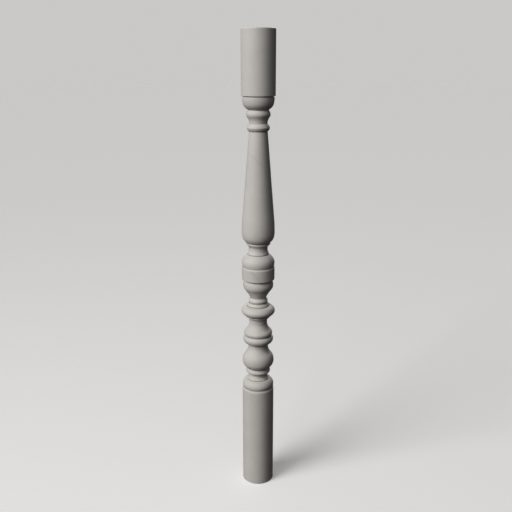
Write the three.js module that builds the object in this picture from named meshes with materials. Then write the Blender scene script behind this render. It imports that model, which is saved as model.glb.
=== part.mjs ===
// A marble baluster turned from one length of stone: a solid of revolution that stands on its flat foot.
// Lengths are in millimetres. The axis is Z and the foot's centre is the origin.

import * as THREE from "three";

// Driving dimensions
const overallHeight = 900;
const drumRadius = 31.3;
const baseDrumHeight = 208.4;
const bandRadius = 31.7;
const bandHeight = 22.8;
const edgeEase = 1;

// How finely the solid is faceted
const sidesAround = 40;
const facetTurn = THREE.MathUtils.degToRad(22);

// Sizes of the mouldings, from the foot up. A stretch of the outline ends at `radius`, `rise` above the
// stretch before it, and stands `bulge` off its chord: a swelling is positive, a hollow is negative.
const base = {
  bevel: { radius: 28.9, rise: 3.8 },
  torus: {
    below: { radius: 31.0, rise: 5.0, bulge: 0.4 },
    above: { radius: 21.7, rise: 12.6, bulge: 2.5 },
  },
  quirk: { radius: 20.9, height: 1.2, lip: 21.9 },
  hollow: { radius: 18.2, rise: 11.4, bulge: -1.7 },
};
const pear = {
  bead: {
    below: { radius: 24.5, rise: 5.1, bulge: 1.9 },
    above: { radius: 20.3, rise: 5.9, bulge: 0.4 },
  },
  belly: {
    below: { radius: 31.1, rise: 16.2, bulge: 2.9 },
    above: { radius: 27.1, rise: 13.8, bulge: 1.2 },
  },
  shoulder: { radius: 20.1, rise: 11.9, bulge: -0.8 },
  neck: { radius: 19.6, rise: 10.7, bulge: -0.2 },
  ring: {
    below: { radius: 28.9, rise: 5.9, bulge: 1.5 },
    above: { radius: 24.9, rise: 11.1, bulge: 2.7 },
  },
};
const bell = {
  underside: { radius: 27.2, rise: 2.6 },
  rim: { radius: 26.2, rise: 7.6, bulge: 1.2 },
  flare: { radius: 17.5, rise: 15.0, bulge: -1.5 },
  neck: { radius: 18.0, rise: 11.3 },
  fillet: {
    below: { radius: 23.2, rise: 2.5, bulge: 0.8 },
    above: { radius: 22.0, rise: 2.7 },
  },
};
const disc = {
  seat: { radius: 22.6, rise: 1.0 },
  torus: {
    below: { radius: 33.0, rise: 10.6, bulge: 3.0 },
    above: { radius: 22.4, rise: 9.1, bulge: 1.9 },
  },
  quirk: { radius: 21.2, height: 2.0, lip: 22.2 },
  cone: { radius: 16.8, rise: 5.1 },
  bead: { radius: 17.7, rise: 6.3, bulge: 1.5 },
  neck: { radius: 15.7, rise: 3.9, bulge: -0.2 },
};
const cup = {
  flare: { radius: 28.2, rise: 19.1, bulge: -0.6 },
  side: { radius: 27.2, rise: 15.6, bulge: 1.6 },
  quirk: { radius: 25.5, height: 2.8, lip: 31.6 },
  bandBevel: { radius: 30.1, rise: 2.8 },
};
const vase = {
  torus: {
    below: { radius: 30.3, rise: 13.9, bulge: 1.3 },
    above: { radius: 21.1, rise: 9.9, bulge: 0.8 },
  },
  quirk: { radius: 19.9, height: 1.2, lip: 20.8 },
  hollow: { radius: 18.0, rise: 7.2, bulge: -0.2 },
  neck: { radius: 18.3, rise: 6.8 },
  fillet: {
    below: { radius: 23.3, rise: 5.5 },
    above: { radius: 22.7, rise: 3.0 },
  },
  bowl: { radius: 30.4, rise: 11.2, bulge: 1.3 },
  belly: { radius: 31.3, rise: 10.7, bulge: 0.3 },
  shoulder: { radius: 29.2, rise: 36.7, bulge: 0.5 },
  taper: { radius: 17.2, rise: 150.0 },
};
const capital = {
  lowerBead: {
    below: { radius: 21.4, rise: 6.6, bulge: 0.8 },
    above: { radius: 16.8, rise: 7.2, bulge: 0.5 },
  },
  hollow: { radius: 20.5, rise: 11.5, bulge: -1.0 },
  upperBead: {
    below: { radius: 22.5, rise: 5.8, bulge: 0.1 },
    above: { radius: 18.7, rise: 7.6, bulge: 0.1 },
  },
  bowl: {
    below: { radius: 28.3, rise: 10.7, bulge: 1.7 },
    above: { radius: 29.3, rise: 11.8, bulge: 0.5 },
  },
  quirk: { radius: 27.6, height: 1.6, lip: drumRadius },
};

// The outline of the turned work, radius against height, drawn from the foot's centre up.
class Outline {
  constructor() {
    this.points = [new THREE.Vector2(0, 0)];
  }

  get end() {
    return this.points[this.points.length - 1];
  }

  // A flat shoulder, square to the axis.
  step(radius) {
    this.points.push(new THREE.Vector2(radius, this.end.y));
  }

  // A straight side or a circular arc.
  stretch({ radius, rise, bulge = 0 }) {
    const finish = new THREE.Vector2(radius, this.end.y + rise);
    if (bulge !== 0) this.points.push(...arcBetween(this.end, finish, bulge));
    this.points.push(finish);
  }

  // A rounded moulding: up to its widest, then in to its shoulder.
  roll({ below, above }) {
    this.stretch(below);
    this.stretch(above);
  }

  // A narrow slot with square walls, and the lip above it.
  quirk({ radius, height, lip }) {
    this.step(radius);
    this.stretch({ radius, rise: height });
    this.step(lip);
  }
}

// Points along the arc from start to finish, without its two ends.
function arcBetween(start, finish, bulge) {
  const chord = finish.clone().sub(start);
  const outward = new THREE.Vector2(chord.y, -chord.x).normalize();
  const sweep = 4 * Math.atan((2 * bulge) / chord.length());
  const radius = chord.length() / 2 / Math.sin(sweep / 2);
  const middle = start.clone().lerp(finish, 0.5);
  const centre = middle.addScaledVector(outward, bulge - radius);
  const steps = Math.max(2, Math.ceil(Math.abs(sweep) / facetTurn));
  const points = [];
  for (let step = 1; step < steps; step += 1) {
    points.push(start.clone().rotateAround(centre, (sweep * step) / steps));
  }
  return points;
}

function drawBase(outline) {
  outline.step(drumRadius - edgeEase);
  outline.stretch({ radius: drumRadius, rise: edgeEase });
  outline.stretch({ radius: drumRadius, rise: baseDrumHeight - edgeEase });
  outline.stretch(base.bevel);
  outline.roll(base.torus);
  outline.quirk(base.quirk);
  outline.stretch(base.hollow);
}

function drawPear(outline) {
  outline.roll(pear.bead);
  outline.roll(pear.belly);
  outline.stretch(pear.shoulder);
  outline.stretch(pear.neck);
  outline.roll(pear.ring);
}

function drawBell(outline) {
  outline.stretch(bell.underside);
  outline.stretch(bell.rim);
  outline.stretch(bell.flare);
  outline.stretch(bell.neck);
  outline.roll(bell.fillet);
}

function drawDisc(outline) {
  outline.stretch(disc.seat);
  outline.roll(disc.torus);
  outline.quirk(disc.quirk);
  outline.stretch(disc.cone);
  outline.stretch(disc.bead);
  outline.stretch(disc.neck);
}

function drawCup(outline) {
  outline.stretch(cup.flare);
  outline.stretch(cup.side);
  outline.quirk(cup.quirk);
  outline.stretch({ radius: bandRadius, rise: bandHeight });
  outline.stretch(cup.bandBevel);
}

function drawVase(outline) {
  outline.roll(vase.torus);
  outline.quirk(vase.quirk);
  outline.stretch(vase.hollow);
  outline.stretch(vase.neck);
  outline.roll(vase.fillet);
  outline.stretch(vase.bowl);
  outline.stretch(vase.belly);
  outline.stretch(vase.shoulder);
  outline.stretch(vase.taper);
}

// The top drum takes what is left of the overall height.
function drawCapital(outline) {
  outline.roll(capital.lowerBead);
  outline.stretch(capital.hollow);
  outline.roll(capital.upperBead);
  outline.roll(capital.bowl);
  outline.quirk(capital.quirk);
  outline.stretch({ radius: drumRadius, rise: overallHeight - edgeEase - outline.end.y });
  outline.stretch({ radius: drumRadius - edgeEase, rise: edgeEase });
  outline.step(0);
}

function turnedSolid() {
  const outline = new Outline();
  for (const draw of [drawBase, drawPear, drawBell, drawDisc, drawCup, drawVase, drawCapital]) {
    draw(outline);
  }
  const solid = new THREE.LatheGeometry(outline.points, sidesAround);
  return solid.rotateX(Math.PI / 2);
}

const marble = new THREE.MeshStandardMaterial({ color: 0xc4c2bc, roughness: 0.55, metalness: 0 });
const baluster = new THREE.Mesh(turnedSolid(), marble);
baluster.name = "baluster";

const part = new THREE.Group();
part.add(baluster);

export default part;
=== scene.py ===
"""A marble baluster turned from one length of stone, with its honed finish, in a small studio.

The object stands on the floor at the origin with its axis on Z. The stone is one fine turned mesh that
follows the frame's solid. Sizes of the mouldings are in millimetres, as on a turner's drawing, and the
scene itself is in metres.
"""

import logging
import math
from bisect import bisect_left
from dataclasses import dataclass, field
from enum import Enum
from typing import Protocol

import bpy
from mathutils import Matrix, Vector


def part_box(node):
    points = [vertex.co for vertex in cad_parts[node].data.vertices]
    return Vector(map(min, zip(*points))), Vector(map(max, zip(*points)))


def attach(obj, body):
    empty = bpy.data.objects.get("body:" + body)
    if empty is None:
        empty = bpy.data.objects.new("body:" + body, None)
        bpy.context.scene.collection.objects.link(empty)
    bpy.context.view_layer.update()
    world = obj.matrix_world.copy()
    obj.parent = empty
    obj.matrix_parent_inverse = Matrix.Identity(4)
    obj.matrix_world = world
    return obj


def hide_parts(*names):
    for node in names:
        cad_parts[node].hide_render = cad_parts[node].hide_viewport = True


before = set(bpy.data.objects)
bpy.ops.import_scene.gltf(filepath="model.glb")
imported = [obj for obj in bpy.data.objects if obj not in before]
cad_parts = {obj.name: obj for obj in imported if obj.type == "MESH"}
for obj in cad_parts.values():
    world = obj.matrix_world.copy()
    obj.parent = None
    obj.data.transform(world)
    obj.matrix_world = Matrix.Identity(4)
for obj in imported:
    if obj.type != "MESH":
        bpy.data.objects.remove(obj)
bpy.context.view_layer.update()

MM = 0.001
BEND = "bend"
LOG = logging.getLogger("baluster")


def linear(colour: str) -> tuple[float, float, float, float]:
    """Turn an sRGB hex colour into linear RGBA.

    Args:
        colour: Six hex digits with a leading hash.

    Returns:
        The linear red, green and blue, and an alpha of one.
    """
    # The sRGB curve has a straight foot and then rises as a power.
    channels = (int(colour[i : i + 2], 16) / 255 for i in (1, 3, 5))
    red, green, blue = (c / 12.92 if c <= 0.04045 else ((c + 0.055) / 1.055) ** 2.4 for c in channels)
    return red, green, blue, 1.0


def add_node(
    tree: bpy.types.NodeTree,
    kind: str,
    settings: dict[str, object] | None = None,
    links: dict[str, bpy.types.NodeSocket | float | tuple[float, ...]] | None = None,
) -> bpy.types.Node:
    """Add one node with its settings and what feeds its inputs.

    Args:
        tree: The node tree that takes the node.
        kind: The node's type name.
        settings: Properties of the node itself.
        links: For each input socket, an output socket to link or a value to set.

    Returns:
        The new node.
    """
    node = tree.nodes.new(kind)
    for name, value in (settings or {}).items():
        setattr(node, name, value)
    for name, source in (links or {}).items():
        socket = node.inputs[int(name)] if name.isdigit() else node.inputs[name]
        if isinstance(source, bpy.types.NodeSocket):
            tree.links.new(source, socket)
        else:
            socket.default_value = source
    return node


class Polish(Enum):
    """How far the stone's surface is rubbed down, as the roughness that it leaves."""

    HONED = 0.66
    POLISHED = 0.14


@dataclass(frozen=True)
class Stretch:
    """A stretch of the outline in millimetres: it ends at a radius, some way above where it starts.

    The bulge is how far an arc stands off its chord. A swelling is positive and a hollow negative.
    """

    radius: float
    rise: float
    bulge: float = 0.0


@dataclass(frozen=True)
class Roll:
    """A rounded moulding: up to its widest, then in to its shoulder."""

    below: Stretch
    above: Stretch


@dataclass(frozen=True)
class Quirk:
    """A narrow slot with square walls in millimetres, and the lip above it."""

    radius: float
    height: float
    lip: float


@dataclass
class Lathe:
    """Draws one outline in edit mode, in the XZ plane, and turns it round the Z axis.

    Lengths are in millimetres, apart from the weld, which is in metres. An arc is drawn in facets no
    longer than its facet length, and finer where it bends hard, up to a few to a length.
    """

    name: str
    sides: int = 144
    facet_turn: float = math.radians(8)
    facet_length: float = 3.2
    fine_length: float = 1.15
    facets_to_length: int = 3
    fewest_facets: int = 2
    arris: float = 0.28
    arris_steps: int = 2
    sharp: float = math.radians(24)
    flow_reach: float = 2.8
    flow_pull: float = 0.5
    flow_passes: int = 4
    uneven: float = 2.0
    bend_reach: float = 2.2
    full_bend: float = 0.6
    long_line: float = 8.8
    smooth_below: float = math.radians(35)
    weld: float = 1e-6
    piece: bpy.types.Object = field(init=False)
    pen: Vector = field(default_factory=lambda: Vector((0.0, 0.0)))
    flows: list[Vector] = field(default_factory=list)

    def start(self) -> None:
        """Put a lone vertex on the axis, at the foot."""
        bpy.ops.object.select_all(action="DESELECT")
        bpy.ops.mesh.primitive_plane_add(size=MM, location=(0, 0, 0))
        self.piece = bpy.context.active_object
        self.piece.name = self.piece.data.name = self.name
        bpy.ops.object.mode_set(mode="EDIT")
        bpy.ops.mesh.select_mode(type="VERT")
        bpy.ops.mesh.select_all(action="SELECT")
        bpy.ops.mesh.merge(type="CENTER")

    def line(self, radius: float, height: float) -> None:
        """Extrude the end of the outline straight to a point.

        A long line gets a vertex near each end, so that what its ends carry stays there.

        Args:
            radius: Where it ends, out from the axis, in millimetres.
            height: Where it ends, above the foot, in millimetres.
        """
        start, goal = self.pen, Vector((radius, height))
        length = (goal - start).length
        shares = [1.0]
        if length > self.long_line:
            near = self.bend_reach / length
            shares = [near, 1 - near, 1.0]
        for share in shares:
            stop = start.lerp(goal, share)
            move = (stop - self.pen) * MM
            bpy.ops.mesh.extrude_region_move(TRANSFORM_OT_translate={"value": (move.x, 0, move.y)})
            self.pen = stop

    def step(self, radius: float) -> None:
        """Draw a flat shoulder, square to the axis, to a radius in millimetres."""
        self.line(radius, self.pen.y)

    def stretch(self, part: Stretch, fine: bool = False) -> None:
        """Draw a straight side, or spin the end of the outline along an arc.

        Args:
            part: The stretch to draw.
            fine: Whether the arc is drawn in short steps, which a flow needs.
        """
        goal = self.pen + Vector((part.radius - self.pen.x, part.rise))
        if part.bulge == 0:
            self.line(goal.x, goal.y)
            return
        chord = goal - self.pen
        outward = Vector((chord.y, -chord.x)).normalized()
        sweep = 4 * math.atan(2 * part.bulge / chord.length)
        arc_radius = chord.length / 2 / math.sin(sweep / 2)
        centre = (self.pen + goal) / 2 + outward * (part.bulge - arc_radius)
        step = self.fine_length if fine else self.facet_length
        by_length = math.ceil(abs(sweep * arc_radius) / step)
        by_turn = min(math.ceil(abs(sweep) / self.facet_turn), self.facets_to_length * by_length)
        bpy.ops.mesh.spin(
            steps=by_length if fine else max(self.fewest_facets, by_turn, by_length),
            angle=sweep,
            center=(centre.x * MM, 0, centre.y * MM),
            axis=(0, 1, 0),
        )
        self.pen = goal

    def roll(self, moulding: Roll) -> None:
        """Draw a rounded moulding from below its widest to its shoulder."""
        self.flowing(moulding.below, moulding.above)

    def flowing(self, *parts: Stretch) -> None:
        """Draw stretches that flow into one another with no corner.

        Args:
            parts: The stretches from the lowest up.
        """
        for part in parts[:-1]:
            self.stretch(part, fine=True)
            self.flows.append(self.pen.copy())
        self.stretch(parts[-1], fine=True)

    def quirk(self, slot: Quirk) -> None:
        """Draw a narrow square slot and step out to the lip above it.

        Args:
            slot: The slot and its lip.
        """
        self.step(slot.radius)
        self.line(slot.radius, self.pen.y + slot.height)
        self.step(slot.lip)

    def blend_flows(self) -> None:
        """Smooth the outline where one stretch flows into the next.

        A sharp corner that is no such joint stays, and so does a vertex with uneven lines beside it,
        which smoothing would drag along.
        """
        bpy.ops.object.mode_set(mode="OBJECT")
        joints = [Vector((flow.x, 0, flow.y)) * MM for flow in self.flows]
        vertices = self.piece.data.vertices
        for vertex in vertices:
            vertex.select = False
        chain = [vertices[i] for i in self.walk()]
        for before, vertex, after in zip(chain, chain[1:], chain[2:]):
            near = min((vertex.co - joint).length for joint in joints)
            spans = sorted(((vertex.co - before.co).length, (after.co - vertex.co).length))
            turn = (vertex.co - before.co).angle(after.co - vertex.co)
            hard = turn > self.sharp and near > self.weld
            even = spans[1] < self.uneven * spans[0]
            vertex.select = near < self.flow_reach * MM and even and not hard
        bpy.ops.object.mode_set(mode="EDIT")
        bpy.ops.mesh.vertices_smooth(factor=self.flow_pull, repeat=self.flow_passes)

    def ease_arrises(self) -> None:
        """Round each sharp corner of the outline a little, as rubbing the stone down does."""
        bpy.ops.object.mode_set(mode="OBJECT")
        corners = [self.piece.data.vertices[i] for i in self.walk()]
        for before, corner, after in zip(corners, corners[1:], corners[2:]):
            turn = (corner.co - before.co).angle(after.co - corner.co)
            corner.select = turn > self.sharp
        for end in (corners[0], corners[-1]):
            end.select = False
        bpy.ops.object.mode_set(mode="EDIT")
        bpy.ops.mesh.bevel(
            offset=self.arris * MM,
            segments=self.arris_steps,
            affect="VERTICES",
            clamp_overlap=True,
        )

    def walk(self) -> list[int]:
        """Follow the outline from the axis at the foot to the axis on top.

        Returns:
            The numbers of its vertices in that order.
        """
        mesh = self.piece.data
        ways: dict[int, list[int]] = {v.index: [] for v in mesh.vertices}
        for edge in mesh.edges:
            first, second = edge.vertices
            ways[first].append(second)
            ways[second].append(first)
        ends = [i for i, way in ways.items() if len(way) == 1]
        order = [min(ends, key=lambda i: mesh.vertices[i].co.z)]
        came = -1
        while len(order) < len(ways):
            here = order[-1]
            order.append(next(i for i in ways[here] if i != came))
            came = here
        return order

    def mark_bends(self) -> None:
        """Keep on each vertex how the outline bends near it: creases above zero, arrises below."""
        bpy.ops.object.mode_set(mode="OBJECT")
        mesh = self.piece.data
        order = self.walk()
        points = [mesh.vertices[i].co.copy() for i in order]
        along = [0.0]
        for first, second in zip(points, points[1:]):
            along.append(along[-1] + (second - first).length)
        reach = self.bend_reach * MM
        bends = mesh.attributes.new(BEND, "FLOAT", "POINT")
        for i, index in enumerate(order):
            below = self.point_at(points, along, along[i] - reach)
            above = self.point_at(points, along, along[i] + reach)
            rise = (above - below).normalized()
            outward = Vector((rise.z, 0, -rise.x))
            stands_in = ((above + below) / 2 - points[i]).dot(outward)
            bends.data[index].value = max(-1.0, min(1.0, stands_in / reach / self.full_bend))
        bpy.ops.object.mode_set(mode="EDIT")

    @staticmethod
    def point_at(points: list[Vector], along: list[float], where: float) -> Vector:
        """Find a point on the outline by its distance from the start.

        Args:
            points: The outline's points in their order.
            along: How far along the outline each point lies.
            where: The distance wanted. Past an end, the end is meant.

        Returns:
            The point.
        """
        where = max(0.0, min(along[-1], where))
        after = max(1, bisect_left(along, where))
        share = (where - along[after - 1]) / (along[after] - along[after - 1])
        return points[after - 1].lerp(points[after], share)

    def turn(self) -> bpy.types.Object:
        """Spin the outline round the axis and close the mesh.

        Returns:
            The finished piece, with its place in its mesh.
        """
        bpy.ops.mesh.select_all(action="SELECT")
        bpy.ops.mesh.spin(steps=self.sides, angle=math.tau, center=(0, 0, 0), axis=(0, 0, 1))
        bpy.ops.mesh.select_all(action="SELECT")
        bpy.ops.mesh.remove_doubles(threshold=self.weld)
        bpy.ops.mesh.normals_make_consistent(inside=False)
        bpy.ops.object.mode_set(mode="OBJECT")
        bpy.ops.object.shade_smooth_by_angle(angle=self.smooth_below)
        return self.piece


class Member(Protocol):
    """A length of the baluster that can be drawn on the lathe."""

    def draw(self, lathe: Lathe) -> None:
        """Draw the member's outline on top of what is drawn already.

        Args:
            lathe: The lathe, with its pen where the member starts.
        """


@dataclass
class Base:
    """The lower drum, and the torus and hollow that it carries."""

    radius: float = 31.3
    height: float = 208.4
    ease: float = 1.0
    bevel: Stretch = Stretch(28.9, 3.8)
    torus: Roll = Roll(Stretch(31.0, 5.0, 0.4), Stretch(21.7, 12.6, 2.5))
    slot: Quirk = Quirk(20.9, 1.2, lip=21.9)
    hollow: Stretch = Stretch(18.2, 11.4, -1.7)

    def draw(self, lathe: Lathe) -> None:
        """Draw the foot, the drum with its eased foot edge, and the torus.

        Args:
            lathe: The lathe that draws it.
        """
        lathe.step(self.radius - self.ease)
        lathe.line(self.radius, self.ease)
        lathe.line(self.radius, self.height)
        lathe.stretch(self.bevel)
        lathe.roll(self.torus)
        lathe.quirk(self.slot)
        lathe.stretch(self.hollow)


@dataclass
class Pear:
    """A bead, the pear-shaped bulb over it, and the ring at the top of its neck."""

    bead: Roll = Roll(Stretch(24.5, 5.1, 1.9), Stretch(20.3, 5.9, 0.4))
    belly: Roll = Roll(Stretch(31.1, 16.2, 2.9), Stretch(27.1, 13.8, 1.2))
    shoulder: Stretch = Stretch(20.1, 11.9, -0.8)
    neck: Stretch = Stretch(19.6, 10.7, -0.2)
    ring: Roll = Roll(Stretch(28.9, 5.9, 1.5), Stretch(24.9, 11.1, 2.7))

    def draw(self, lathe: Lathe) -> None:
        """Draw the bead, the bulb, its neck and the ring.

        Args:
            lathe: The lathe that draws it.
        """
        lathe.roll(self.bead)
        lathe.flowing(self.belly.below, self.belly.above, self.shoulder, self.neck)
        lathe.roll(self.ring)


@dataclass
class Bell:
    """A bell with a rounded rim, drawn in to a neck with a small fillet."""

    underside: Stretch = Stretch(27.2, 2.6)
    rim: Stretch = Stretch(26.2, 7.6, 1.2)
    flare: Stretch = Stretch(17.5, 15.0, -1.5)
    neck: Stretch = Stretch(18.0, 11.3)
    fillet: Roll = Roll(Stretch(23.2, 2.5, 0.8), Stretch(22.0, 2.7))

    def draw(self, lathe: Lathe) -> None:
        """Draw the bell from its underside to the fillet.

        Args:
            lathe: The lathe that draws it.
        """
        lathe.stretch(self.underside)
        lathe.flowing(self.rim, self.flare)
        lathe.stretch(self.neck)
        lathe.roll(self.fillet)


@dataclass
class Disc:
    """The widest torus, and the cone, bead and neck above it."""

    seat: Stretch = Stretch(22.6, 1.0)
    torus: Roll = Roll(Stretch(33.0, 10.6, 3.0), Stretch(22.4, 9.1, 1.9))
    slot: Quirk = Quirk(21.2, 2.0, lip=22.2)
    cone: Stretch = Stretch(16.8, 5.1)
    bead: Stretch = Stretch(17.7, 6.3, 1.5)
    neck: Stretch = Stretch(15.7, 3.9, -0.2)

    def draw(self, lathe: Lathe) -> None:
        """Draw the torus from its seat to the neck over it.

        Args:
            lathe: The lathe that draws it.
        """
        lathe.stretch(self.seat)
        lathe.roll(self.torus)
        lathe.quirk(self.slot)
        lathe.stretch(self.cone)
        lathe.stretch(self.bead)
        lathe.stretch(self.neck)


@dataclass
class Cup:
    """A flared cup that carries a plain band."""

    flare: Stretch = Stretch(28.2, 19.1, -0.6)
    side: Stretch = Stretch(27.2, 15.6, 1.6)
    slot: Quirk = Quirk(25.5, 2.8, lip=31.6)
    band: Stretch = Stretch(31.7, 22.8)
    bevel: Stretch = Stretch(30.1, 2.8)

    def draw(self, lathe: Lathe) -> None:
        """Draw the cup, the quirk under the band, the band and its bevel.

        Args:
            lathe: The lathe that draws it.
        """
        lathe.flowing(self.flare, self.side)
        lathe.quirk(self.slot)
        lathe.stretch(self.band)
        lathe.stretch(self.bevel)


@dataclass
class Vase:
    """The half torus over the band, its neck, and the long tapered vase of the shaft."""

    torus: Roll = Roll(Stretch(30.3, 13.9, 1.3), Stretch(21.1, 9.9, 0.8))
    slot: Quirk = Quirk(19.9, 1.2, lip=20.8)
    hollow: Stretch = Stretch(18.0, 7.2, -0.2)
    neck: Stretch = Stretch(18.3, 6.8)
    fillet: Roll = Roll(Stretch(23.3, 5.5), Stretch(22.7, 3.0))
    bowl: Stretch = Stretch(30.4, 11.2, 1.3)
    belly: Stretch = Stretch(31.3, 10.7, 0.3)
    shoulder: Stretch = Stretch(29.2, 36.7, 0.5)
    taper: Stretch = Stretch(17.2, 150.0)

    def draw(self, lathe: Lathe) -> None:
        """Draw the half torus and its neck, then the vase up to its narrow top.

        Args:
            lathe: The lathe that draws it.
        """
        lathe.roll(self.torus)
        lathe.quirk(self.slot)
        lathe.stretch(self.hollow)
        lathe.stretch(self.neck)
        lathe.roll(self.fillet)
        lathe.flowing(self.bowl, self.belly)
        lathe.stretch(self.shoulder)
        lathe.stretch(self.taper)


@dataclass
class Capital:
    """Two beads with a hollow between them, a bowl, and the top drum."""

    top: float
    radius: float = 31.3
    ease: float = 1.0
    lower_bead: Roll = Roll(Stretch(21.4, 6.6, 0.8), Stretch(16.8, 7.2, 0.5))
    hollow: Stretch = Stretch(20.5, 11.5, -1.0)
    upper_bead: Roll = Roll(Stretch(22.5, 5.8, 0.5), Stretch(18.7, 7.6, 0.5))
    bowl: Roll = Roll(Stretch(28.3, 10.7, 1.7), Stretch(29.3, 11.8, 0.5))
    slot: Quirk = Quirk(27.6, 1.6, lip=31.3)

    def draw(self, lathe: Lathe) -> None:
        """Draw up to the quirk, then the drum, which takes what is left of the height.

        Args:
            lathe: The lathe that draws it.
        """
        lathe.roll(self.lower_bead)
        lathe.flowing(self.hollow, self.upper_bead.below, self.upper_bead.above)
        lathe.roll(self.bowl)
        lathe.quirk(self.slot)
        lathe.line(self.radius, self.top - self.ease)
        lathe.line(self.radius - self.ease, self.top)
        lathe.step(0.0)


@dataclass(frozen=True)
class WearAndShade:
    """What use leaves on the bent places of a turned stone, and the painted shade laid in its creases,
    and what each does to them.

    A bend is 1 in a deep crease, 0 on a straight side and -1 on a sharp arris. The mark goes from
    nothing where it starts to its strength where it is full, and adds to the roughness there.
    """

    colour: str
    starts: float
    full: float
    strength: float
    roughens: float


@dataclass(frozen=True)
class HonedMarble:
    """Marble, sawn, turned and honed with fine grit.

    Honing leaves no mirror, only a wide soft sheen. The stone is a warm light grey with faint cloudy
    patches, a few long hairline veins, each in a soft grey shade, and a fine sugary grain. The creases
    are painted darker, with dust and painted shade, and the arrises are rubbed a little paler and
    smoother. Light sinks a little way in, red the deepest, which softens the edges of shadows. Sizes
    are in millimetres.
    """

    name: str = "honed_marble"
    polish: Polish = Polish.HONED
    polish_varies: float = 0.05
    ior: float = 1.5
    light_stone: str = "#CDC9C3"
    cloud_stone: str = "#C8C4BE"
    cloud_size: float = 42.0
    cloud_detail: float = 3.0
    cloud_roughness: float = 0.5
    cloud_twist: float = 0.6
    cloud_edges: tuple[float, float] = (0.3, 0.7)
    vein_stone: str = "#8F8C88"
    vein_spacing: float = 135.0
    vein_width: float = 1.4
    vein_strength: float = 0.28
    vein_shade: float = 11.0
    shade_strength: float = 0.07
    vein_wander: float = 3.2
    vein_detail: float = 4.0
    vein_detail_scale: float = 2.6
    vein_roughness: float = 0.55
    vein_phase: float = 1.1
    vein_in_clear_stone: float = 0.25
    # Painted shade: a dark colour laid in the creases, where shade falls, with dust as well.
    dust_and_painted_shade: WearAndShade = WearAndShade("#69645E", starts=0.2, full=1.0, strength=0.65, roughens=0.4)
    rubbing: WearAndShade = WearAndShade("#DAD7D2", starts=-0.15, full=-0.8, strength=0.4, roughens=-0.3)
    wear_and_shade_varies: float = 0.3
    grain_size: float = 1.3
    grain_detail: float = 1.0
    grain_contrast: float = 0.045
    grain_depth: float = 0.006
    lathe_line: float = 0.9
    lathe_detail: float = 2.0
    lathe_depth: float = 0.004
    sinking_share: float = 0.05
    light_sinks: float = 1.0
    colours_sink: tuple[float, float, float] = (1.0, 0.85, 0.7)

    def build(self) -> bpy.types.Material:
        """Make the material.

        Returns:
            The node material. Its patterns read Object coordinates, and its wear and painted crease
            shade read the bends.
        """
        material = bpy.data.materials.new(self.name)
        material.use_nodes = True
        tree = material.node_tree
        tree.nodes.clear()
        place = add_node(tree, "ShaderNodeTexCoord").outputs["Object"]
        grain = self.grain(tree, place)
        clouds = self.clouds(tree, place)
        # The crease mark is painted shade with dust in it. The arris mark is rubbing.
        wear_and_shade = [(kind, self.worn_or_shaded(tree, kind, grain)) for kind in (self.dust_and_painted_shade, self.rubbing)]
        layers = [(clouds, self.cloud_stone), (self.veins(tree, place, clouds), self.vein_stone)]
        layers += [(share, kind.colour) for kind, share in wear_and_shade]
        colour = linear(self.light_stone)
        for share, over in layers:
            links = {"0": share, "6": colour, "7": linear(over)}
            colour = add_node(tree, "ShaderNodeMix", {"data_type": "RGBA"}, links).outputs[2]
        speckle = add_node(
            tree,
            "ShaderNodeMapRange",
            links={
                "Value": grain,
                "To Min": 1 - self.grain_contrast,
                "To Max": 1 + self.grain_contrast,
            },
        ).outputs["Result"]
        speckled = add_node(
            tree, "ShaderNodeVectorMath", {"operation": "SCALE"}, {"Vector": colour, "Scale": speckle}
        )
        shader = add_node(
            tree,
            "ShaderNodeBsdfPrincipled",
            links={
                "Base Color": speckled.outputs["Vector"],
                "Roughness": self.roughness(tree, grain, wear_and_shade),
                "Normal": self.relief(tree, place, grain),
                "IOR": self.ior,
                "Subsurface Weight": self.sinking_share,
                "Subsurface Radius": self.colours_sink,
                "Subsurface Scale": self.light_sinks * MM,
            },
        )
        add_node(tree, "ShaderNodeOutputMaterial", links={"Surface": shader.outputs["BSDF"]})
        return material

    def grain(self, tree: bpy.types.NodeTree, place: bpy.types.NodeSocket) -> bpy.types.NodeSocket:
        """Make the sugary grain of the stone.

        Real grains are about half a millimetre. They are drawn coarser, so that they show at all.

        Args:
            tree: The material's nodes.
            place: The Object coordinates.

        Returns:
            A factor from 0 to 1.
        """
        size = {"Vector": place, "Scale": 1 / (self.grain_size * MM), "Detail": self.grain_detail}
        return add_node(tree, "ShaderNodeTexNoise", links=size).outputs["Fac"]

    def clouds(self, tree: bpy.types.NodeTree, place: bpy.types.NodeSocket) -> bpy.types.NodeSocket:
        """Make the soft cloudy patches.

        Args:
            tree: The material's nodes.
            place: The Object coordinates.

        Returns:
            A factor from 0, light stone, to 1, the greyer stone.
        """
        noise = add_node(
            tree,
            "ShaderNodeTexNoise",
            links={
                "Vector": place,
                "Scale": 1 / (self.cloud_size * MM),
                "Detail": self.cloud_detail,
                "Roughness": self.cloud_roughness,
                "Distortion": self.cloud_twist,
            },
        )
        low, high = self.cloud_edges
        spread = {"Value": noise.outputs["Fac"], "From Min": low, "From Max": high}
        return add_node(
            tree, "ShaderNodeMapRange", {"interpolation_type": "SMOOTHSTEP"}, spread
        ).outputs["Result"]

    def veins(
        self, tree: bpy.types.NodeTree, place: bpy.types.NodeSocket, clouds: bpy.types.NodeSocket
    ) -> bpy.types.NodeSocket:
        """Make long slanting veins: a hairline in a wide soft shade, which fade in and out.

        Args:
            tree: The material's nodes.
            place: The Object coordinates.
            clouds: The cloudy patches, where the veins are strongest.

        Returns:
            A factor from 0, clear stone, up to the vein strength.
        """
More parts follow.
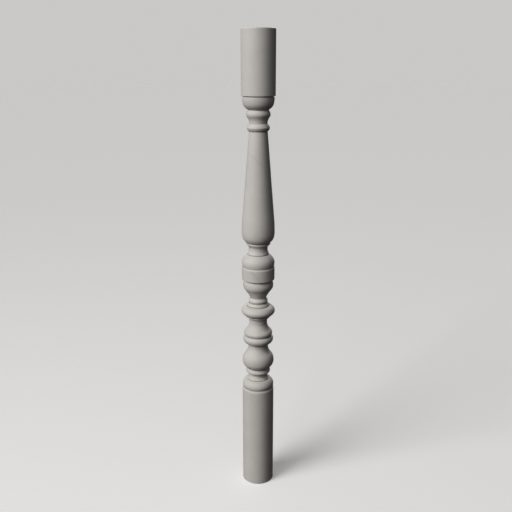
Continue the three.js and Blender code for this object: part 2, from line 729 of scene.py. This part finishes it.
        # The wave repeats each 2 pi of ten times its scale along x + y + z, which is slanted by root 3.
        scale = math.tau / (10 * math.sqrt(3) * self.vein_spacing * MM)
        bands = add_node(
            tree,
            "ShaderNodeTexWave",
            {"wave_type": "BANDS", "bands_direction": "DIAGONAL", "wave_profile": "TRI"},
            {
                "Vector": place,
                "Scale": scale,
                "Distortion": self.vein_wander,
                "Detail": self.vein_detail,
                "Detail Scale": self.vein_detail_scale,
                "Detail Roughness": self.vein_roughness,
                "Phase Offset": self.vein_phase,
            },
        ).outputs["Fac"]
        parts = []
        for width, strength in (
            (self.vein_width, self.vein_strength),
            (self.vein_shade, self.shade_strength),
        ):
            near = add_node(
                tree,
                "ShaderNodeMapRange",
                {"interpolation_type": "SMOOTHERSTEP"},
                {
                    "Value": bands,
                    "From Min": 0.0,
                    "From Max": width / self.vein_spacing,
                    "To Min": strength,
                    "To Max": 0.0,
                },
            )
            parts.append(near.outputs["Result"])
        whole = add_node(tree, "ShaderNodeMath", {"operation": "ADD"}, {"0": parts[0], "1": parts[1]})
        fade = add_node(
            tree, "ShaderNodeMapRange", links={"Value": clouds, "To Min": self.vein_in_clear_stone}
        )
        return add_node(
            tree,
            "ShaderNodeMath",
            {"operation": "MULTIPLY"},
            {"0": whole.outputs[0], "1": fade.outputs["Result"]},
        ).outputs[0]

    def worn_or_shaded(
        self, tree: bpy.types.NodeTree, kind: WearAndShade, grain: bpy.types.NodeSocket
    ) -> bpy.types.NodeSocket:
        """Find the bent places that a mark reaches, a little uneven: dust with painted shade in the
        creases, rubbing on the arrises.

        Args:
            tree: The material's nodes.
            kind: The mark to look for.
            grain: The grain pattern, which makes the mark uneven.

        Returns:
            A factor from 0 up to about the strength of the mark.
        """
        bend = add_node(tree, "ShaderNodeAttribute", {"attribute_name": BEND}).outputs["Fac"]
        reach = add_node(
            tree,
            "ShaderNodeMapRange",
            {"interpolation_type": "SMOOTHSTEP"},
            {"Value": bend, "From Min": kind.starts, "From Max": kind.full, "To Max": kind.strength},
        ).outputs["Result"]
        varied = {"Value": grain, "To Min": 1 - self.wear_and_shade_varies, "To Max": 1 + self.wear_and_shade_varies}
        uneven = add_node(tree, "ShaderNodeMapRange", links=varied).outputs["Result"]
        return add_node(
            tree, "ShaderNodeMath", {"operation": "MULTIPLY"}, {"0": reach, "1": uneven}
        ).outputs[0]

    def roughness(
        self,
        tree: bpy.types.NodeTree,
        grain: bpy.types.NodeSocket,
        wear_and_shade: list[tuple[WearAndShade, bpy.types.NodeSocket]],
    ) -> bpy.types.NodeSocket:
        """Vary the roughness with the grain. The dust mark in the creases, which is also painted shade,
        dulls the stone, and rubbing smooths it.

        Args:
            tree: The material's nodes.
            grain: The grain pattern.
            wear_and_shade: Each mark, wear and painted shade alike, and where it is.

        Returns:
            The roughness.
        """
        by_grain = {
            "Value": grain,
            "To Min": self.polish.value - self.polish_varies,
            "To Max": self.polish.value + self.polish_varies,
        }
        rough = add_node(tree, "ShaderNodeMapRange", links=by_grain).outputs["Result"]
        for kind, share in wear_and_shade:
            rough = add_node(
                tree,
                "ShaderNodeMath",
                {"operation": "MULTIPLY_ADD", "use_clamp": True},
                {"0": share, "1": kind.roughens, "2": rough},
            ).outputs[0]
        return rough

    def relief(
        self, tree: bpy.types.NodeTree, place: bpy.types.NodeSocket, grain: bpy.types.NodeSocket
    ) -> bpy.types.NodeSocket:
        """Make the fine relief: the faint rings of the lathe under the grain of the stone.

        Real honing lines are a tenth of this width. They are drawn coarser, so that they show at all.

        Args:
            tree: The material's nodes.
            place: The Object coordinates.
            grain: The grain pattern.

        Returns:
            The bent normal.
        """
        height = add_node(tree, "ShaderNodeSeparateXYZ", links={"Vector": place}).outputs["Z"]
        rings = add_node(
            tree,
            "ShaderNodeTexNoise",
            {"noise_dimensions": "1D"},
            {"W": height, "Scale": 1 / (self.lathe_line * MM), "Detail": self.lathe_detail},
        ).outputs["Fac"]
        turned = add_node(
            tree,
            "ShaderNodeBump",
            links={"Strength": 1.0, "Distance": self.lathe_depth * MM, "Height": rings},
        ).outputs["Normal"]
        return add_node(
            tree,
            "ShaderNodeBump",
            links={
                "Strength": 1.0,
                "Distance": self.grain_depth * MM,
                "Height": grain,
                "Normal": turned,
            },
        ).outputs["Normal"]


@dataclass
class Baluster:
    """The whole turned stone, which stands for the frame's solid."""

    node: str = "baluster"
    body: str = "root"
    slot: str = "marble"
    name: str = "turned_baluster"
    finish: HonedMarble = HonedMarble()

    def members(self) -> list[Member]:
        """Give the members from the foot up, as tall in all as the frame's solid."""
        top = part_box(self.node)[1].z / MM
        return [Base(), Pear(), Bell(), Disc(), Cup(), Vase(), Capital(top=top)]

    def build(self) -> bpy.types.Object:
        """Turn the stone, dress it and tie it to the frame.

        Returns:
            The finished piece.
        """
        lathe = Lathe(self.name)
        lathe.start()
        for member in self.members():
            member.draw(lathe)
        lathe.blend_flows()
        lathe.ease_arrises()
        lathe.mark_bends()
        piece = lathe.turn()
        piece.data.materials.append(self.finish.build())
        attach(piece, self.body)
        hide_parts(self.node)
        return piece


@dataclass
class Camera:
    """The camera at the photograph's viewing angle, in metres and degrees.

    It stands a little lower than the top of the stone and looks down at it.
    """

    lens: float = 46.0
    sensor: float = 36.0
    distance: float = 1.2097
    height: float = 0.8329
    aside: float = -0.00427
    pitch: float = 16.034

    def build(self) -> bpy.types.Object:
        """Place the camera and make it the scene's own.

        Returns:
            The camera object.
        """
        data = bpy.data.cameras.new("camera")
        data.lens = self.lens
        data.sensor_width = self.sensor
        camera = bpy.data.objects.new("camera", data)
        camera.location = (self.aside, -self.distance, self.height)
        camera.rotation_euler = (math.radians(90 - self.pitch), 0, 0)
        bpy.context.scene.collection.objects.link(camera)
        bpy.context.scene.camera = camera
        return camera


@dataclass(frozen=True)
class Lamp:
    """One lamp of the studio.

    It comes from some way round from the front, negative to the left, and some way up, in degrees.
    """

    name: str
    round_from_front: float
    up: float

    def aim(self, target: Vector, distance: float) -> Matrix:
        """Work out where the lamp stands and how it faces its target.

        Args:
            target: The point it faces, in metres.
            distance: How far it stands from that point, in metres.

        Returns:
            The lamp's matrix.
        """
        turn, lift = math.radians(self.round_from_front), math.radians(self.up)
        level = math.cos(lift)
        way = Vector((math.sin(turn) * level, -math.cos(turn) * level, math.sin(lift)))
        return Matrix.LocRotScale(target + way * distance, way.to_track_quat("Z", "Y"), None)

    def place(self, data: bpy.types.Light, matrix: Matrix) -> bpy.types.Object:
        """Put the lamp in the scene.

        Args:
            data: The lamp's light.
            matrix: Where it stands.

        Returns:
            The lamp.
        """
        lamp = bpy.data.objects.new(self.name, data)
        lamp.matrix_world = matrix
        lamp.visible_camera = False
        bpy.context.scene.collection.objects.link(lamp)
        return lamp


@dataclass(frozen=True)
class FarLamp(Lamp):
    """A far soft lamp, which lights the stone and all of the floor alike."""

    strength: float
    spread: float

    def build(self) -> bpy.types.Object:
        """Make the lamp.

        Returns:
            The lamp.
        """
        data = bpy.data.lights.new(self.name, "SUN")
        data.energy = self.strength
        data.angle = math.radians(self.spread)
        return self.place(data, self.aim(Vector((0, 0, 0)), 1.0))

    def on_floor(self) -> float:
        """Give how bright it makes a white floor."""
        return self.strength * math.sin(math.radians(self.up)) / math.pi


@dataclass(frozen=True)
class NearLamp(Lamp):
    """A square softbox near the stone, in metres and watts, which falls off towards the foot."""

    watts: float
    size: float
    distance: float
    target_height: float

    def build(self) -> bpy.types.Object:
        """Make the lamp.

        Returns:
            The lamp.
        """
        data = bpy.data.lights.new(self.name, "AREA")
        data.energy = self.watts
        data.size = self.size
        return self.place(data, self.aim(Vector((0, 0, self.target_height)), self.distance))


@dataclass
class Studio:
    """A plain pale floor and soft light: a key and a softbox from the left, a back lamp, a dim fill.

    The back lamp shines on the stone alone, so that it throws no second shadow on the floor. The floor
    glows a little, as a light table does, which keeps it pale without any light on the stone.
    """

    floor_size: float = 100.0
    floor_fades: tuple[float, float] = (8.0, 45.0)
    floor_glow: float = 0.22
    floor_colour: str = "#F0EFED"
    fill_colour: str = "#FFFFFF"
    fill_above: float = 0.1
    fill_below: float = 0.015
    horizon_blur: float = 0.1
    key: FarLamp = FarLamp("key", -56.0, 33.0, strength=2.03, spread=32.0)
    back: FarLamp = FarLamp("back", 168.0, 30.0, strength=1.3, spread=16.0)
    softbox: NearLamp = NearLamp(
        "softbox", -38.0, 36.0, watts=12.2, size=1.2, distance=2.03, target_height=0.5
    )

    def build(self, stone: bpy.types.Object) -> bpy.types.Object:
        """Make the lamps, the surroundings and the floor.

        Args:
            stone: The piece that the studio shows.

        Returns:
            The floor.
        """
        self.key.build()
        self.softbox.build()
        lit = bpy.data.collections.new("lit_from_behind")
        lit.objects.link(stone)
        self.back.build().light_linking.receiver_collection = lit
        self.build_surroundings()
        bpy.context.scene.view_settings.view_transform = "Standard"
        return self.build_floor()

    def build_surroundings(self) -> None:
        """Show the camera a backdrop as pale as the far floor, and light the stone dimly all round.

        Most of the dim light comes from above the horizon, and only a little is thrown up from below.
        """
        world = bpy.data.worlds.new("studio")
        world.use_nodes = True
        tree = world.node_tree
        tree.nodes.clear()
        way = add_node(tree, "ShaderNodeTexCoord").outputs["Generated"]
        height = add_node(tree, "ShaderNodeSeparateXYZ", links={"Vector": way}).outputs["Z"]
        strength = add_node(
            tree,
            "ShaderNodeMapRange",
            links={
                "Value": height,
                "From Min": -self.horizon_blur,
                "From Max": self.horizon_blur,
                "To Min": self.fill_below,
                "To Max": self.fill_above,
            },
        ).outputs["Result"]
        fill = add_node(
            tree,
            "ShaderNodeBackground",
            links={"Color": linear(self.fill_colour), "Strength": strength},
        )
        backdrop = add_node(
            tree,
            "ShaderNodeBackground",
            links={
                "Color": linear(self.floor_colour),
                "Strength": self.key.on_floor() + self.fill_above + self.floor_glow,
            },
        )
        seen = add_node(tree, "ShaderNodeLightPath").outputs["Is Camera Ray"]
        mixed = add_node(
            tree,
            "ShaderNodeMixShader",
            links={"0": seen, "1": fill.outputs[0], "2": backdrop.outputs[0]},
        )
        add_node(tree, "ShaderNodeOutputWorld", links={"Surface": mixed.outputs[0]})
        bpy.context.scene.world = world

    def build_floor(self) -> bpy.types.Object:
        """Lay the floor: matt pale paper, which throws no light back up at the stone.

        Far off it fades into the backdrop, so that no edge shows.

        Returns:
            The floor.
        """
        bpy.ops.object.select_all(action="DESELECT")
        bpy.ops.mesh.primitive_plane_add(size=self.floor_size, location=(0, 0, 0))
        floor = bpy.context.active_object
        floor.name = "floor"
        paper = bpy.data.materials.new("matt_paper")
        paper.use_nodes = True
        tree = paper.node_tree
        tree.nodes.clear()
        colour = linear(self.floor_colour)
        matt = add_node(tree, "ShaderNodeBsdfDiffuse", links={"Color": colour})
        glow = add_node(
            tree, "ShaderNodeEmission", links={"Color": colour, "Strength": self.floor_glow}
        )
        pale = add_node(
            tree, "ShaderNodeAddShader", links={"0": matt.outputs[0], "1": glow.outputs[0]}
        )
        place = add_node(tree, "ShaderNodeTexCoord").outputs["Object"]
        away = add_node(tree, "ShaderNodeVectorMath", {"operation": "LENGTH"}, {"0": place})
        near, far = self.floor_fades
        fade = add_node(
            tree,
            "ShaderNodeMapRange",
            {"interpolation_type": "SMOOTHSTEP"},
            {"Value": away.outputs["Value"], "From Min": near, "From Max": far},
        ).outputs["Result"]
        clear = add_node(tree, "ShaderNodeBsdfTransparent")
        both = add_node(
            tree,
            "ShaderNodeMixShader",
            links={"0": fade, "1": pale.outputs[0], "2": clear.outputs[0]},
        )
        add_node(tree, "ShaderNodeOutputMaterial", links={"Surface": both.outputs[0]})
        floor.data.materials.append(paper)
        floor.visible_diffuse = False
        floor.visible_glossy = False
        return floor


def main() -> None:
    """Build the camera, the stone and the studio, and report each."""
    logging.basicConfig(level=logging.INFO, format="%(name)s: %(message)s")
    Camera().build()
    stone = Baluster().build()
    faces = stone.data.polygons
    triangles = sum(len(face.vertices) - 2 for face in faces)
    LOG.info("%s: %d faces, %d triangles", stone.name, len(faces), triangles)
    floor = Studio().build(stone)
    LOG.info("%s: %.0f m across", floor.name, floor.dimensions.x)


if __name__ == "__main__":
    main()
